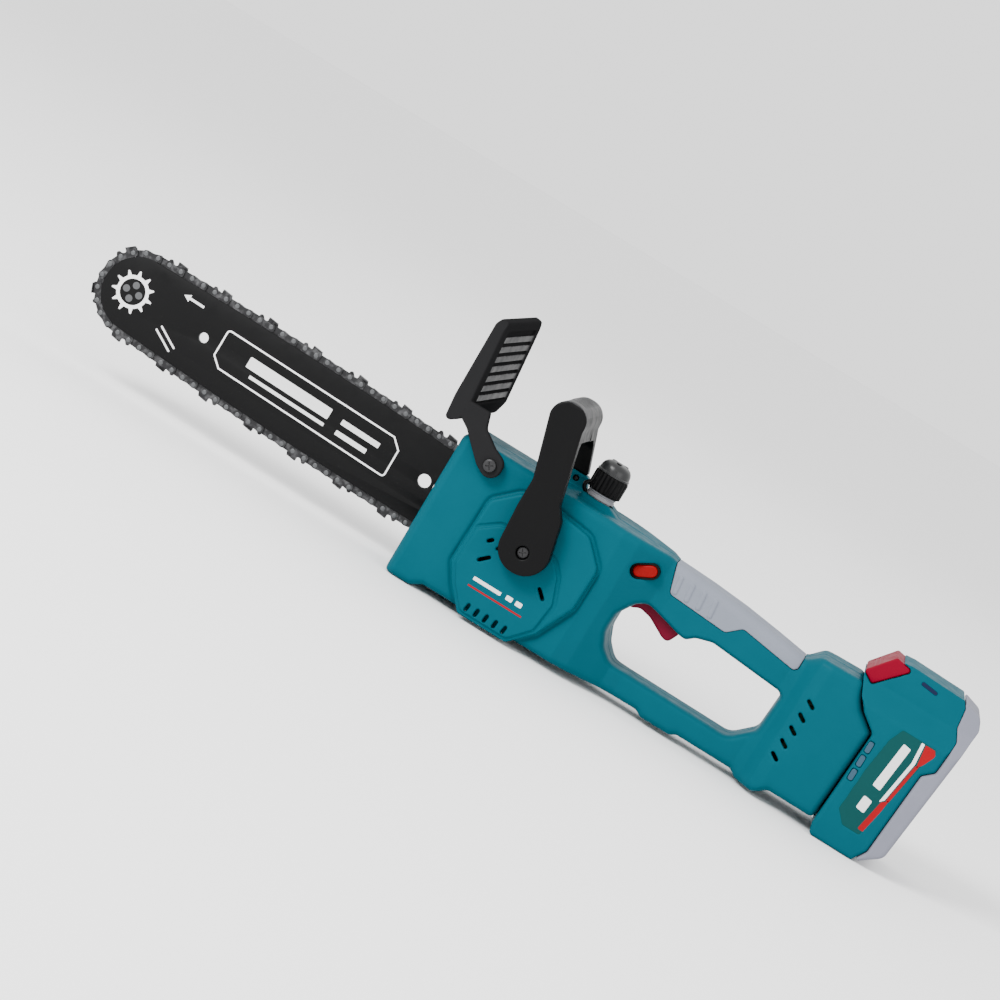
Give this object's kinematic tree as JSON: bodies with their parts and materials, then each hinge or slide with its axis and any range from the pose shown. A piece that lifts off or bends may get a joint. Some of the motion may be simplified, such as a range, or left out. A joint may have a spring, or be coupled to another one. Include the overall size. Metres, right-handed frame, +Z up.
{
  "type": "cordless chainsaw",
  "caption": "Battery-powered chainsaw with a guide bar and chain, a hooped front handle, a hand guard, an oil filler, a rear grip with a trigger, and a slide-on battery.",
  "frame": {"origin": "under the middle of the whole saw, on the plane through the undersides of the front foot and the battery", "axes": "+X from the bar nose back to the battery, +Z up, -Y the motor side"},
  "size_m": [0.6984, 0.1174, 0.1923],
  "materials": {
    "teal_plastic": "teal moulded plastic, fine matt texture",
    "grey_plastic": "light grey moulded plastic",
    "soft_grip": "light grey soft overmould",
    "black_plastic": "black glass-filled plastic",
    "red_plastic": "red button plastic",
    "crimson_plastic": "dark red trigger plastic",
    "latch_plastic": "red latch plastic",
    "bar_paint": "black painted steel",
    "steel": "ground steel",
    "dark_steel": "blackened steel",
    "copper": "copper windings on the iron core",
    "board": "green circuit board",
    "cell_wrap": "blue heat-shrunk cell",
    "light_window": "pale translucent plastic",
    "tank_plastic": "natural translucent plastic"
  },
  "bodies": {
    "root": {"left_housing": "teal_plastic", "right_housing": "teal_plastic", "motor_cover": "teal_plastic", "sprocket_cover": "teal_plastic", "grip_pad_left": "soft_grip", "grip_pad_right": "soft_grip", "front_handle": "black_plastic", "handle_screw_left": "dark_steel", "handle_screw_right": "dark_steel", "guard_pivot_screw": "dark_steel", "housing_screw_1": "dark_steel", "housing_screw_2": "dark_steel", "housing_screw_3": "dark_steel", "housing_screw_4": "dark_steel", "brake_switch": "black_plastic", "oil_tank": "tank_plastic", "oil_filler_neck": "light_window", "oil_hose": "black_plastic", "oil_pump": "black_plastic", "motor_stator": "copper", "motor_bearing_left": "steel", "motor_bearing_right": "steel", "gearbox_plate": "dark_steel", "ring_gear": "steel", "spindle_bearing": "steel", "saw_chain": "dark_steel", "bar_stud": "steel", "trigger_pin": "steel", "trigger_switch": "black_plastic", "control_board": "board", "terminal_block": "black_plastic"},
    "guard": {"hand_guard": "black_plastic"},
    "trigger": {"trigger": "crimson_plastic"},
    "plunger": {"switch_plunger": "black_plastic"},
    "lock_button": {"lock_off_button": "red_plastic"},
    "battery": {"battery_case": "teal_plastic", "battery_base": "grey_plastic", "charge_light_1": "light_window", "charge_light_2": "light_window", "charge_light_3": "light_window", "battery_cell_1": "cell_wrap", "battery_cell_2": "cell_wrap", "battery_cell_3": "cell_wrap", "battery_cell_4": "cell_wrap", "battery_cell_5": "cell_wrap"},
    "latch": {"battery_latch": "latch_plastic"},
    "cap_seal": {"oil_cap_seal": "black_plastic"},
    "cap": {"oil_cap": "black_plastic"},
    "knob": {"cover_knob": "black_plastic"},
    "tension_screw": {"tension_screw": "steel"},
    "bar": {"guide_bar": "bar_paint", "tension_pin": "steel"},
    "nose": {"nose_sprocket": "steel"},
    "spindle": {"planet_carrier": "steel", "drive_sprocket": "dark_steel"},
    "rotor": {"motor_rotor": "steel", "cooling_fan": "black_plastic"},
    "planet_1": {"planet_gear_1": "steel"},
    "planet_2": {"planet_gear_2": "steel"},
    "planet_3": {"planet_gear_3": "steel"}
  },
  "joints": [
    {"name": "guard_brake", "type": "hinge", "parent": "root", "child": "guard", "pos_m": [-0.02757, -0.04473, 0.102], "axis": [0, -1, 0], "range_deg": [0, 15]},
    {"name": "trigger_pull", "type": "hinge", "parent": "root", "child": "trigger", "pos_m": [0.10623, -0.00173, 0.084], "axis": [0, -1, 0], "range_deg": [0, 9], "stiffness_Nm_per_rad": 0.6, "springref_deg": -8.59},
    {"name": "plunger_press", "type": "slide", "parent": "root", "child": "plunger", "axis": [0, 0, 1], "range_m": [0, 0.0034]},
    {"name": "lock_off_press", "type": "slide", "parent": "root", "child": "lock_button", "axis": [0, 1, 0], "range_m": [0, 0.0035], "stiffness_N_per_m": 300, "springref_m": -0.004},
    {"name": "battery_slide", "type": "slide", "parent": "root", "child": "battery", "axis": [0.0454, 0, 0.999], "range_m": [0, 0.12]},
    {"name": "battery_latch_press", "type": "slide", "parent": "battery", "child": "latch", "axis": [0.7948, 0, -0.6069], "range_m": [0, 0.003], "stiffness_N_per_m": 500, "springref_m": -0.003},
    {"name": "cap_lift", "type": "slide", "parent": "root", "child": "cap_seal", "axis": [0, 0, 1], "range_m": [0, 0.0075]},
    {"name": "cap_turn", "type": "hinge", "parent": "cap_seal", "child": "cap", "pos_m": [0.04523, -0.00173, 0.1216], "axis": [0, 0, 1], "range_deg": [0, 901]},
    {"name": "knob_turn", "type": "hinge", "parent": "root", "child": "knob", "pos_m": [-0.03076, 0.04627, 0.05925], "axis": [0, 1, 0], "range_deg": [0, 720]},
    {"name": "tension_turn", "type": "hinge", "parent": "root", "child": "tension_screw", "pos_m": [-0.04277, 0.01417, 0.04552], "axis": [1, 0, 0], "range_deg": [0, 1801]},
    {"name": "bar_tension", "type": "slide", "parent": "root", "child": "bar", "axis": [0.9997, 0, -0.0227], "range_m": [0, 0.004]},
    {"name": "spindle_spin", "type": "hinge", "parent": "root", "child": "spindle", "pos_m": [0.02423, -0.00173, 0.058], "axis": [0, 1, 0], "continuous": true},
    {"name": "rotor_spin", "type": "hinge", "parent": "root", "child": "rotor", "pos_m": [0.02423, -0.00173, 0.058], "axis": [0, 1, 0], "continuous": true},
    {"name": "nose_spin", "type": "hinge", "parent": "bar", "child": "nose", "pos_m": [-0.32019, 0.01827, 0.06582], "axis": [0, 1, 0], "continuous": true},
    {"name": "planet_spin_1", "type": "hinge", "parent": "spindle", "child": "planet_1", "pos_m": [0.03623, -0.00173, 0.058], "axis": [0, 1, 0], "continuous": true},
    {"name": "planet_spin_2", "type": "hinge", "parent": "spindle", "child": "planet_2", "pos_m": [0.01823, -0.00173, 0.06839], "axis": [0, 1, 0], "continuous": true},
    {"name": "planet_spin_3", "type": "hinge", "parent": "spindle", "child": "planet_3", "pos_m": [0.01823, -0.00173, 0.04761], "axis": [0, 1, 0], "continuous": true}
  ],
  "couplings": [
    {"joint": "plunger_press", "follows": "trigger_pull", "m_per_rad": 0.021},
    {"joint": "cap_turn", "follows": "cap_lift", "rad_per_m": 2094.4},
    {"joint": "tension_turn", "follows": "bar_tension", "rad_per_m": 7854},
    {"joint": "rotor_spin", "follows": "spindle_spin", "ratio": 5},
    {"joint": "nose_spin", "follows": "spindle_spin", "ratio": 0.54546},
    {"joint": "planet_spin_1", "follows": "spindle_spin", "ratio": -2.6667},
    {"joint": "planet_spin_2", "follows": "spindle_spin", "ratio": -2.6667},
    {"joint": "planet_spin_3", "follows": "spindle_spin", "ratio": -2.6667}
  ]
}
